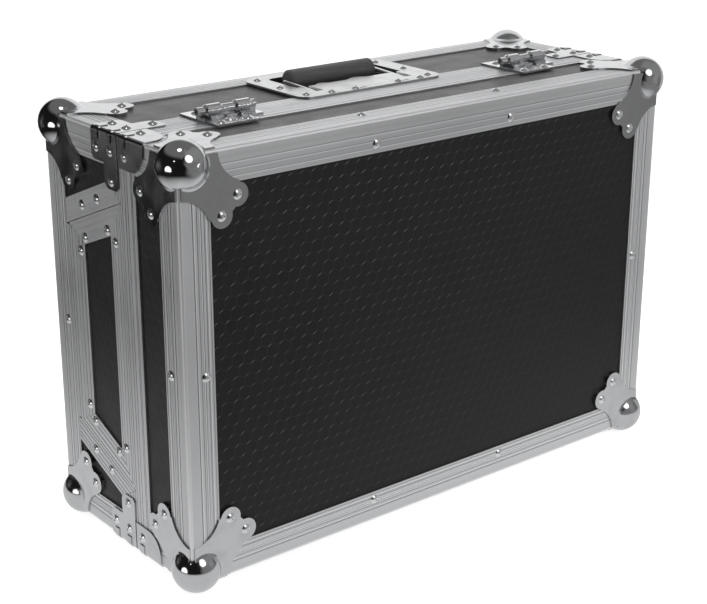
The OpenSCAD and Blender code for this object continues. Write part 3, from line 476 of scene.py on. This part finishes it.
def door_grain(mat, place):
    """Grain of the door's mitred frames, upright on the rim and far bars and sloping on the
    other two."""
    x, y, z = mat.split(place)
    up = mat.apart(z, CENTRE_Z)
    from_far = mat.math("SUBTRACT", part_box("door_profiles")[1].y, y)
    reach = mat.math("ADD", DOOR_HALF_HEIGHT,
                     mat.math("MULTIPLY", math.tan(DOOR_SLANT), from_far))
    sloping = mat.math("DIVIDE", mat.apart(reach, up), SLOPING_BAR)
    rim = mat.math("DIVIDE", mat.math("SUBTRACT", y, JOINT_Y), RIM_BAR)
    far = mat.math("DIVIDE", from_far, FAR_BAR)
    forward = mat.math("SUBTRACT", mat.math("MULTIPLY", y, math.cos(DOOR_SLANT)),
                       mat.math("MULTIPLY", up, math.sin(DOOR_SLANT)))
    across = mat.math("ADD", mat.math("MULTIPLY", y, math.sin(DOOR_SLANT)),
                      mat.math("MULTIPLY", up, math.cos(DOOR_SLANT)))
    nearer = mat.math("LESS_THAN", sloping,
                      mat.math("ABSOLUTE", mat.math("MINIMUM", rim, far)))
    return mat.choose(nearer, mat.stretch(place, ALONG["z"]),
                      mat.stretch(mat.join(x, forward, across), ALONG["y"]))


def drawn(name, run, part=None):
    """Drawn aluminium. run gives the axis that the profile runs along, or 'rim' or 'door' for
    those frames. part names the half of the case whose edge angles it is, for the painted shade
    and highlights of their grooves and the painted highlight along their edges."""
    look = bpy.context.scene.case_metals
    mat = Finish(name)
    place = mat.place()
    if run in ALONG:
        grain = mat.stretch(place, ALONG[run])
    else:
        grain = {"rim": rim_grain, "door": door_grain}[run](mat, place)
    lines = mat.noise(grain, 1.0, 3.0, 0.55)
    broad = mat.noise(mat.stretch(grain, (0.12, 0.12, 0.12)), 1.0, 2.0)
    cloud = mat.noise(place, 14.0, 3.0)
    speck = mat.noise(place, 420.0, 2.0)
    base, dim = tuple(look.aluminium), tinted(look.aluminium, 0.86)
    tone = mat.mix(mat.ramp(broad, 0.3, 0.7), dim, base)
    tone = mat.mix(mat.ramp(lines, 0.5, 0.75, 0.0, 0.3), tone, dim)
    tone = mat.mix(mat.ramp(speck, 0.66, 0.8, 0.0, 0.3), tone, dim)
    rough = mat.math("ADD", mat.ramp(lines, 0.3, 0.7, look.brushed - 0.05, look.brushed + 0.07),
                     mat.ramp(cloud, 0.3, 0.7, -0.03, 0.03))
    if part:
        dark, bright, edge = painted_groove_light(mat, place, part)
        # Painted shade on the dark side of each groove, painted highlights on its bright side and
        # along the rounded edge, where the metal is also rougher.
        tone = mat.mix(mat.math("MULTIPLY", dark, 0.5), tone, tinted(base, 0.35))
        tone = mat.mix(mat.math("MULTIPLY", bright, 0.6), tone, look.painted_glint)
        tone = mat.mix(mat.math("MULTIPLY", edge, 0.8), tone, look.painted_glint)
        rough = mat.math("ADD", rough, mat.math("MULTIPLY", edge, 0.16))
    mat.bump(mat.math("ADD", lines, mat.math("MULTIPLY", broad, 0.8)), 0.000008)
    return mat.surface(Base_Color=tone, Metallic=1.0, Roughness=rough)


def polished(name, tint, rough, wave=0.00003, haze=0.05):
    """Chromed or plated sheet steel: a clear reflection, slightly waved by the pressing."""
    mat = Finish(name)
    place = mat.place()
    cloud = mat.noise(place, 60.0, 3.0)
    hair = mat.noise(mat.stretch(place, (220.0, 900.0, 2600.0)), 1.0, 2.0)
    pits = mat.cells(place, 650.0)
    dull = tinted(tint, 0.82)
    tone = mat.mix(mat.ramp(cloud, 0.35, 0.75, 0.0, 0.6), tint, dull)
    tone = mat.mix(mat.ramp(pits, 0.04, 0.10, 0.5, 0.0), tone, dull)
    gloss = mat.math("ADD", mat.ramp(cloud, 0.35, 0.7, rough, rough + haze),
                     mat.ramp(hair, 0.6, 0.8, 0.0, haze))
    mat.bump(mat.math("ADD", mat.noise(place, 45.0, 1.0), mat.math("MULTIPLY", hair, 0.05)),
             wave)
    return mat.surface(Base_Color=tone, Metallic=1.0, Roughness=gloss)


class FLIGHT_CASE_OT_profiles(bpy.types.Operator):
    """Finish the aluminium edge angles, rims and door profiles, each along its own length"""

    bl_idname = "flight_case.profiles"
    bl_label = "Finish the profiles"

    def execute(self, context):
        for part in ("lid", "base"):
            for angle, run in (("long", "x"), ("upright", "z"), ("depth", "y")):
                dress(drawn(f"{part}_aluminium_{angle}", run, part), f"{part}_{angle}_angles")
        dress(drawn("rim_aluminium", "rim"), "lid_closing_profile", "base_closing_profile")
        dress(drawn("door_aluminium", "door"), "door_profiles", "door_opening_profiles")
        return {"FINISHED"}


class FLIGHT_CASE_OT_fittings(bpy.types.Operator):
    """Finish the ball corners, braces, rivets and hinges in polished and plated steel"""

    bl_idname = "flight_case.fittings"
    bl_label = "Finish the steel fittings"

    def execute(self, context):
        look = context.scene.case_metals
        dress(polished("corner_chrome", look.chrome, look.polish),
              "lid_ball_corners", "base_ball_corners")
        dress(polished("brace_chrome", look.chrome, look.polish + 0.02),
              "lid_corner_braces", "base_corner_braces")
        dress(polished("rivet_nickel", look.rivet, 0.2, 0.00001),
              "lid_rivets", "base_rivets", "door_rivets", "handle_rivets")
        dress(polished("hinge_nickel", look.nickel, look.polish + 0.12, 0.00004),
              "hinge_lid_leaves", "hinge_base_leaves")
        dress(polished("pin_steel", look.pin, 0.22), "hinge_pins")
        return {"FINISHED"}


def grip_rubber():
    """Pebbled rubber, scuffed lighter along the grip."""
    rubber = bpy.context.scene.case_soft.rubber
    mat = Finish("grip_rubber")
    place = mat.place()
    pebble = mat.cells(place, 620.0, "SMOOTH_F1")
    fine = mat.noise(place, 2400.0, 2.0)
    scuff = mat.noise(mat.stretch(place, (18.0, 160.0, 160.0)), 1.0, 3.0)
    light = tinted(rubber, 2.1)
    tone = mat.mix(mat.ramp(scuff, 0.52, 0.78, 0.0, 0.55), rubber, light)
    tone = mat.mix(mat.ramp(fine, 0.45, 0.75, 0.0, 0.5), tone, light)
    mat.bump(mat.math("ADD", pebble, mat.math("MULTIPLY", fine, 0.3)), 0.00022)
    return mat.surface(Base_Color=tone, Roughness=mat.ramp(scuff, 0.3, 0.7, 0.52, 0.66))


class FLIGHT_CASE_OT_handle(bpy.types.Operator):
    """Finish the handle: plated plate and wire, springs, and a pebbled rubber grip"""

    bl_idname = "flight_case.handle"
    bl_label = "Finish the handle"

    def execute(self, context):
        look = context.scene.case_metals
        dress(polished("handle_plate_nickel", look.plated, 0.2, 0.00004), "handle_dish")
        dress(polished("wire_nickel", look.nickel, 0.2), "handle_bail")
        dress(polished("spring_steel", look.pin, 0.3), "handle_springs")
        dress(grip_rubber(), "handle_grip")
        return {"FINISHED"}


class FLIGHT_CASE_OT_latches(bpy.types.Operator):
    """Finish the recessed latches: zinc-plated dishes, rotors and wings"""

    bl_idname = "flight_case.latches"
    bl_label = "Finish the latches"

    def execute(self, context):
        plated = context.scene.case_metals.plated
        dress(polished("latch_dish_zinc", plated, 0.2, 0.00004, 0.1),
              "latch_base_dishes", "latch_lid_dishes")
        dress(polished("latch_wing_zinc", plated, 0.16),
              "latch_rotor_left", "latch_rotor_right", "latch_wing_left", "latch_wing_right")
        return {"FINISHED"}


# Foam lining


# Each foam piece, the node that it stands for, and the half of the case that carries it.
FOAM_PIECES = (
    ("lid_foam_sheet", "lid_pad", "lid"),
    ("lid_foam_strips", "lid_strips", "lid"),
    ("floor_foam_sheet", "floor_pad_foam", "base"),
    ("side_foam_sheets", "side_pads", "base"),
    ("end_foam_sheet", "end_pad", "base"),
    ("divider_foam_sheet", "divider_foam", "base"),
)
# Grid of the foam's mesh, rounds of relaxing that round its edges, and the waves of its faces:
# turns for each metre, and height.
FOAM_GRID = 0.004
FOAM_RELAX = 3
FOAM_WAVES = ((26.0, 0.0004), (110.0, 0.00015))


def foam_finish():
    look = bpy.context.scene.case_soft
    mat = Finish("lining_foam")
    place = mat.place()
    pores = mat.cells(place, 1.0 / look.pore)
    fine = mat.cells(place, 2.3 / look.pore)
    shade = mat.noise(place, 22.0, 4.0, 0.6)
    # Painted shade in the pores: small dark spots round the cells' centres.
    tone = mat.mix(mat.ramp(pores, 0.15, 0.5, 1.0, 0.0), look.foam, tinted(look.foam, 0.35))
    tone = mat.mix(mat.ramp(shade, 0.45, 0.75, 0.0, 0.5), tone, tinted(look.foam, 1.9))
    mat.bump(mat.math("ADD", pores, mat.math("MULTIPLY", fine, 0.5)), 0.0005)
    return mat.surface(Base_Color=tone, Roughness=0.95, Sheen_Weight=0.25,
                       Sheen_Roughness=0.6, Specular_IOR_Level=0.2)


def foam_block(name, source, finish, body):
    """Cut foam: its edges pull in and its faces swell by a fraction of a millimetre."""
    mesh = NODES[source].data.copy()
    mesh.name = name
    piece = bpy.data.objects.new(name, mesh)
    bpy.context.scene.collection.objects.link(piece)
    cut = bmesh.new()
    cut.from_mesh(mesh)
    bmesh.ops.remove_doubles(cut, verts=cut.verts, dist=1e-6)
    bmesh.ops.dissolve_limit(cut, angle_limit=0.01, verts=cut.verts, edges=cut.edges)
    bmesh.ops.recalc_face_normals(cut, faces=cut.faces)
    cut.to_mesh(mesh)
    cut.free()
    grid = piece.modifiers.new("grid", "REMESH")
    grid.mode = "VOXEL"
    grid.voxel_size = FOAM_GRID
    relax = piece.modifiers.new("relax", "SMOOTH")
    relax.factor = 0.5
    relax.iterations = FOAM_RELAX
    bpy.context.view_layer.update()
    shaped = bpy.data.meshes.new_from_object(
        piece.evaluated_get(bpy.context.evaluated_depsgraph_get())
    )
    piece.modifiers.clear()
    piece.data = shaped
    shaped.name = name
    low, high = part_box(source)
    for vertex, normal in [(v, v.normal.copy()) for v in shaped.vertices]:
        swell = sum(noise.noise(vertex.co * turns) * height for turns, height in FOAM_WAVES)
        moved = vertex.co + normal * swell
        for axis in range(3):
            moved[axis] = min(max(moved[axis], low[axis]), high[axis])
        vertex.co = moved
    shaped.shade_smooth()
    shaped.materials.clear()
    shaped.materials.append(finish)
    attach(piece, body)
    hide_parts(source)


class FLIGHT_CASE_OT_foam(bpy.types.Operator):
    """Line the case with cut foam in place of the plain solids"""

    bl_idname = "flight_case.foam"
    bl_label = "Line with foam"

    def execute(self, context):
        finish = foam_finish()
        for name, source, body in FOAM_PIECES:
            foam_block(name, source, finish, body)
        return {"FINISHED"}


# Stage, lamps and camera


# Each softbox: its place, the point it faces, its width, and its share of the front power.
SOFTBOXES = (
    ("front_softbox", (0.14, -2.81, 2.43), (0, 0, 0.25), 1.9, 3.3),
    ("left_softbox", (-1.77, -0.10, 0.14), (-0.25, -0.1, 0.2), 0.8, 0.6),
    ("top_softbox", (-0.56, -0.25, 2.36), (-0.25, -0.1, 0.3), 0.55, 0.35),
    ("small_lamp", (-1.47, -0.61, 1.13), (-0.25, -0.1, 0.3), 0.10, 0.02),
    ("top_lamp", (0.35, 0.55, 1.0), (0, 0, 0.3), 0.25, 0.14),
    ("low_left_lamp", (-0.95, 0.85, 0.30), (-0.25, 0, 0.2), 0.45, 0.6),
    ("low_front_lamp", (0.72, -0.98, 0.30), (0.05, 0, 0.25), 0.42, 0.75),
)
FLOOR_REACH = 14.0
# The studio walls stand near the case and again far behind, down to just below the table.
NEAR_WALL, FAR_WALL, WALL_FOOT = 1.06, 6.0, -0.01
# Openings in the near walls before the softboxes: direction, and reach in degrees.
OPENINGS = (((0.03, -0.72, 0.69), 28), ((-1.03, -0.10, 0.16), 22),
            ((-0.36, -0.14, 0.98), 13), ((-0.9, -0.35, 0.65), 9))
# Brighter parts of the walls and of the table: direction, degrees from it where they begin and
# end to fade, and brightness. DARK is that of all the rest.
WALL_TONES = (
    ((0.63, 0.78, 0.25), 42, 55, 1.05),
    ((0.95, 0.10, 0.15), 22, 36, 0.55),
    ((0.35, -0.93, 0.1), 30, 55, 0.26),
    ((0.0, 0.0, 1.0), 36, 46, 0.20),
    ((0.45, -0.50, 0.75), 20, 45, 0.34),
)
TABLE_TONES = (
    ((0.62, 0.78, 0.0), 30, 62, 0.75),
    ((0.60, -0.80, 0.0), 30, 75, 0.30),
)
DARK = 0.012
# The table is white round the foot of the case: half its length and depth there, how far from
# it the white begins and ends to fade, and its brightness.
TABLE_FOOT = (0.28, 0.11)
TABLE_FADE = (0.05, 0.68)
TABLE_WHITE = 0.80
TABLE_LIFT = 0.0008
# The camera: its lens and sensor in millimetres, its place, and how far it is turned about X, Y
# and Z, in degrees.
LENS, SENSOR = 79.13, 36.0
CAMERA_PLACE = (-0.9219, -1.1232, 0.7068)
CAMERA_TURN = (70.1085, -0.0693, -38.7562)


def lamp(name, place, aim, size, power, mirrored=True):
    """A round lamp that the camera doesn't see, and mirrors only if it is to be mirrored."""
    data = bpy.data.lights.new(name, "AREA")
    data.shape = "DISK"
    data.size = size
    data.energy = power
    made = bpy.data.objects.new(name, data)
    bpy.context.scene.collection.objects.link(made)
    made.location = place
    made.rotation_euler = (Vector(aim) - Vector(place)).to_track_quat("-Z", "Y").to_euler()
    made.visible_camera = False
    made.visible_glossy = mirrored


def stage_piece(name, build, finish):
    """A surface of the stage, made by one function on an empty mesh."""
    mesh = bpy.data.meshes.new(name)
    shape = bmesh.new()
    build(shape)
    shape.to_mesh(mesh)
    shape.free()
    mesh.materials.append(finish.material)
    made = bpy.data.objects.new(name, mesh)
    bpy.context.scene.collection.objects.link(made)
    return made


def reflected(name, build, tone):
    """A surface of the studio that only the metal and the laminate reflect."""
    mat = Finish(name)
    mat.tree.links.new(mat.glow(tone(mat)), mat.out.inputs[0])
    made = stage_piece(name, build, mat)
    for ray in ("camera", "diffuse", "transmission", "volume_scatter", "shadow"):
        setattr(made, "visible_" + ray, False)
    return made


def brightest(mat, facing, tone, patches):
    """The brightest of a tone and of patches that lie round their directions."""
    for direction, near, far, strength in patches:
        dot = mat.vector("DOT_PRODUCT", facing, tuple(Vector(direction).normalized()))
        patch = mat.ramp(dot, math.cos(math.radians(far)), math.cos(math.radians(near)),
                         0.0, strength)
        tone = mat.math("MAXIMUM", tone, patch)
    return tone


def set_floor(look):
    """The pale floor, lifted to white for the camera and in mirrors."""
    mat = Finish("pale_floor")
    mat.surface(Base_Color=look.floor, Roughness=0.9, Specular_IOR_Level=0.1)
    path = mat.add("ShaderNodeLightPath").outputs
    seen = mat.math("MAXIMUM", path["Is Camera Ray"], path["Is Glossy Ray"])
    seen = mat.math("MAXIMUM", seen, path["Is Transmission Ray"])
    both = mat.add("ShaderNodeAddShader")
    mat.put(both.inputs[0], mat.body.outputs[0])
    mat.put(both.inputs[1], mat.glow(mat.math("MULTIPLY", seen, look.lift)))
    mat.put(mat.out.inputs[0], both.outputs[0])
    stage_piece("floor", lambda shape: bmesh.ops.create_grid(
        shape, x_segments=8, y_segments=8, size=FLOOR_REACH), mat)


def set_walls():
    """Dark walls with a white one behind the case, and a grey ceiling."""
    openings = [(Vector(way).normalized(), math.cos(math.radians(reach)))
                for way, reach in OPENINGS]

    def clear(shape, unwanted):
        found = [v for v in shape.verts if unwanted(v.co)]
        bmesh.ops.delete(shape, geom=found, context="VERTS")

    def build(shape):
        bmesh.ops.create_uvsphere(shape, u_segments=96, v_segments=48, radius=NEAR_WALL)
        clear(shape, lambda co: any(co.normalized().dot(way) > least for way, least in openings))
        bmesh.ops.create_uvsphere(shape, u_segments=48, v_segments=24, radius=FAR_WALL)
        clear(shape, lambda co: co.z < WALL_FOOT)

    reflected("studio_walls", build, lambda mat: brightest(
        mat, mat.vector("NORMALIZE", mat.place()), DARK, WALL_TONES))


def set_table():
    """The white table under the case, dark further away."""
    def tone(mat):
        x, y, _ = mat.split(mat.place())
        out_x, out_y = (
            mat.math("MAXIMUM", mat.math("SUBTRACT", mat.math("ABSOLUTE", way), foot), 0.0)
            for way, foot in zip((x, y), TABLE_FOOT)
        )
        away = mat.vector("LENGTH", mat.join(out_x, out_y, 0.0))
        close = mat.ramp(away, *TABLE_FADE, TABLE_WHITE, DARK)
        facing = mat.vector("NORMALIZE", mat.join(x, y, 0.0))
        return brightest(mat, facing, close, TABLE_TONES)

    table = reflected("studio_table", lambda shape: bmesh.ops.create_circle(
        shape, cap_ends=True, segments=64, radius=FAR_WALL), tone)
    table.location.z = TABLE_LIFT


def set_world(look):
    """Even light on the case, and plain white for the camera and in mirrors."""
    world = bpy.data.worlds.new("studio_light")
    bpy.context.scene.world = world
    world.use_nodes = True
    tree = world.node_tree
    tree.nodes.clear()
    out = tree.nodes.new("ShaderNodeOutputWorld")
    even = tree.nodes.new("ShaderNodeBackground")
    even.inputs["Strength"].default_value = look.ambient
    white = tree.nodes.new("ShaderNodeBackground")
    for light in (even, white):
        light.inputs["Color"].default_value = (1, 1, 1, 1)
    path = tree.nodes.new("ShaderNodeLightPath").outputs
    seen = path["Is Camera Ray"]
    for ray in ("Is Glossy Ray", "Is Transmission Ray"):
        most = tree.nodes.new("ShaderNodeMath")
        most.operation = "MAXIMUM"
        tree.links.new(seen, most.inputs[0])
        tree.links.new(path[ray], most.inputs[1])
        seen = most.outputs[0]
    mix = tree.nodes.new("ShaderNodeMixShader")
    for socket, made in zip(mix.inputs, (seen, even.outputs[0], white.outputs[0])):
        tree.links.new(made, socket)
    tree.links.new(mix.outputs[0], out.inputs[0])


def set_camera():
    data = bpy.data.cameras.new("camera")
    data.sensor_fit = "HORIZONTAL"
    data.sensor_width = SENSOR
    data.lens = LENS
    camera = bpy.data.objects.new("camera", data)
    bpy.context.scene.collection.objects.link(camera)
    turn = Euler([math.radians(angle) for angle in CAMERA_TURN])
    camera.matrix_world = Matrix.LocRotScale(Vector(CAMERA_PLACE), turn, None)
    bpy.context.scene.camera = camera
    bpy.context.scene.view_settings.view_transform = "Standard"


class FLIGHT_CASE_OT_stage(bpy.types.Operator):
    """Set the pale floor, the soft lamps, the studio walls and the camera"""

    bl_idname = "flight_case.stage"
    bl_label = "Set the stage"

    def execute(self, context):
        look = context.scene.case_studio
        set_floor(look)
        set_walls()
        set_table()
        set_world(look)
        lamp("key_lamp", (-0.7, -0.5, 2.3), (0, 0, 0.2), 1.5, look.key, mirrored=False)
        for name, place, aim, size, part in SOFTBOXES:
            lamp(name, place, aim, size, look.front * part)
        set_camera()
        return {"FINISHED"}


# Sidebar and registering


STEPS = ("stage", "panels", "profiles", "fittings", "handle", "latches", "foam")
GROUPS = {
    "case_panels": FlightCasePanels,
    "case_metals": FlightCaseMetals,
    "case_soft": FlightCaseSoft,
    "case_studio": FlightCaseStudio,
}


class FLIGHT_CASE_PT_sidebar(bpy.types.Panel):
    """Sizes, colours and steps of the flight case"""

    bl_idname = "FLIGHT_CASE_PT_sidebar"
    bl_label = "Flight Case"
    bl_space_type = "VIEW_3D"
    bl_region_type = "UI"
    bl_category = "Flight Case"

    def draw(self, context):
        for group in GROUPS:
            held = getattr(context.scene, group)
            box = self.layout.box()
            box.label(text=held.bl_rna.description)
            for name in held.bl_rna.properties.keys():
                if name not in ("rna_type", "name"):
                    box.prop(held, name)
        for step in STEPS:
            self.layout.operator("flight_case." + step)


CLASSES = (
    *GROUPS.values(),
    FLIGHT_CASE_OT_stage,
    FLIGHT_CASE_OT_panels,
    FLIGHT_CASE_OT_profiles,
    FLIGHT_CASE_OT_fittings,
    FLIGHT_CASE_OT_handle,
    FLIGHT_CASE_OT_latches,
    FLIGHT_CASE_OT_foam,
    FLIGHT_CASE_PT_sidebar,
)


def register():
    for made in CLASSES:
        bpy.utils.register_class(made)
    for name, group in GROUPS.items():
        setattr(bpy.types.Scene, name, PointerProperty(type=group))


def unregister():
    for name in GROUPS:
        delattr(bpy.types.Scene, name)
    for made in reversed(CLASSES):
        bpy.utils.unregister_class(made)


def main():
    register()
    for step in STEPS:
        getattr(bpy.ops.flight_case, step)()


if __name__ == "__main__":
    main()
